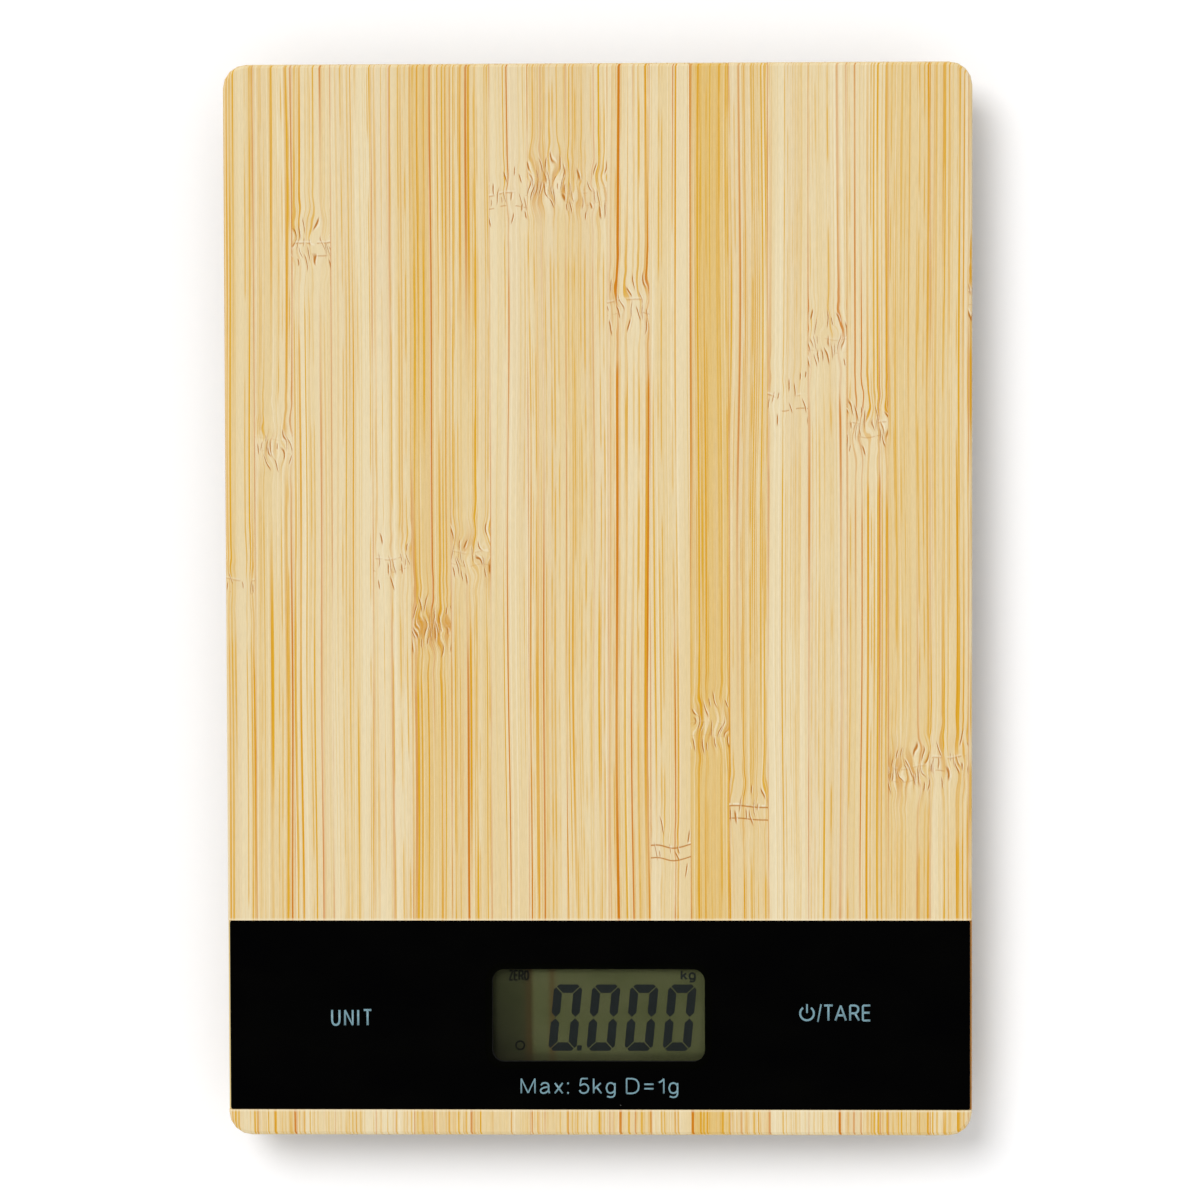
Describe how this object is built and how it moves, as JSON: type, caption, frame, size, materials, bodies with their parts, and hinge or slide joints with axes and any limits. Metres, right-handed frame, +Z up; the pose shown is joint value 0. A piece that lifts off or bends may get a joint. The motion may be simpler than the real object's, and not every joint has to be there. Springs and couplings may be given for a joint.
{
  "type": "kitchen scale",
  "caption": "Slim battery kitchen scale: bamboo platform with a gloss black display panel, moulded tray, load-cell feet and a coin-cell door.",
  "frame": {"origin": "on the table, under the middle of the platform", "axes": "+Z up, +Y towards the back, away from the display; X across the platform"},
  "size_m": [0.16, 0.23, 0.017],
  "materials": {
    "bamboo": "clear matt lacquer over laminated bamboo strips",
    "smoked_acrylic": "polished smoked sheet, black printed behind except at the window",
    "black_adhesive": "matt black adhesive film",
    "black_plastic": "moulded, fine spark texture",
    "display_glass": "polarised, smooth",
    "reflector_foil": "grey-green reflective film",
    "conductive_rubber": "matt",
    "circuit_laminate": "green solder mask",
    "epoxy": "glossy drop",
    "spring_steel": "bright plated wire",
    "cell_steel": "stamped, lightly brushed",
    "nickel": "nickel plated",
    "zinc_screw": "bright zinc plated",
    "white_plastic": "moulded, natural white",
    "gauge_sealant": "white silicone",
    "foot_rubber": "matt",
    "red_sleeve": "insulation sleeve",
    "black_sleeve": "insulation sleeve"
  },
  "bodies": {
    "scale_body": {"bamboo_board": "bamboo", "display_panel": "smoked_acrylic", "panel_tape": "black_adhesive", "display_frame": "black_plastic", "display_front_glass": "display_glass", "display_rear_glass": "display_glass", "display_reflector": "reflector_foil", "contact_strip_front": "conductive_rubber", "contact_strip_back": "conductive_rubber", "circuit_board": "circuit_laminate", "chip_cover": "epoxy", "base_tray": "black_plastic", "touch_spring_unit": "spring_steel", "touch_spring_tare": "spring_steel", "coin_cell": "nickel", "battery_contact_negative": "nickel", "battery_contact_positive": "nickel", "battery_lead_positive": "red_sleeve", "battery_lead_negative": "black_sleeve", "cell_holder_front_left": "white_plastic", "load_cell_front_left": "cell_steel", "strain_gauge_front_left": "gauge_sealant", "cell_lead_front_left": "red_sleeve", "cell_holder_front_right": "white_plastic", "load_cell_front_right": "cell_steel", "strain_gauge_front_right": "gauge_sealant", "cell_lead_front_right": "red_sleeve", "cell_holder_back_left": "white_plastic", "load_cell_back_left": "cell_steel", "strain_gauge_back_left": "gauge_sealant", "cell_lead_back_left": "red_sleeve", "cell_holder_back_right": "white_plastic", "load_cell_back_right": "cell_steel", "strain_gauge_back_right": "gauge_sealant", "cell_lead_back_right": "red_sleeve", "tray_screw_1": "zinc_screw", "tray_screw_2": "zinc_screw", "tray_screw_3": "zinc_screw", "tray_screw_4": "zinc_screw", "tray_screw_5": "zinc_screw", "tray_screw_6": "zinc_screw", "circuit_screw_1": "zinc_screw", "circuit_screw_2": "zinc_screw", "circuit_screw_3": "zinc_screw", "circuit_screw_4": "zinc_screw"},
    "foot_front_left": {"foot_cup_front_left": "black_plastic", "rubber_pad_front_left": "foot_rubber"},
    "foot_front_right": {"foot_cup_front_right": "black_plastic", "rubber_pad_front_right": "foot_rubber"},
    "foot_back_left": {"foot_cup_back_left": "black_plastic", "rubber_pad_back_left": "foot_rubber"},
    "foot_back_right": {"foot_cup_back_right": "black_plastic", "rubber_pad_back_right": "foot_rubber"},
    "battery_door": {"battery_door": "black_plastic"}
  },
  "joints": [
    {"name": "foot_front_left_press", "type": "slide", "parent": "scale_body", "child": "foot_front_left", "axis": [0, 0, 1], "range_m": [0, 0.0003], "stiffness_N_per_m": 400, "springref_m": -0.002},
    {"name": "foot_front_right_press", "type": "slide", "parent": "scale_body", "child": "foot_front_right", "axis": [0, 0, 1], "range_m": [0, 0.0003], "stiffness_N_per_m": 400, "springref_m": -0.002},
    {"name": "foot_back_left_press", "type": "slide", "parent": "scale_body", "child": "foot_back_left", "axis": [0, 0, 1], "range_m": [0, 0.0003], "stiffness_N_per_m": 400, "springref_m": -0.002},
    {"name": "foot_back_right_press", "type": "slide", "parent": "scale_body", "child": "foot_back_right", "axis": [0, 0, 1], "range_m": [0, 0.0003], "stiffness_N_per_m": 400, "springref_m": -0.002},
    {"name": "battery_door_turn", "type": "hinge", "parent": "scale_body", "child": "battery_door", "pos_m": [0, 0.018, 0.004], "axis": [0, 0, -1], "range_deg": [0, 45]}
  ]
}
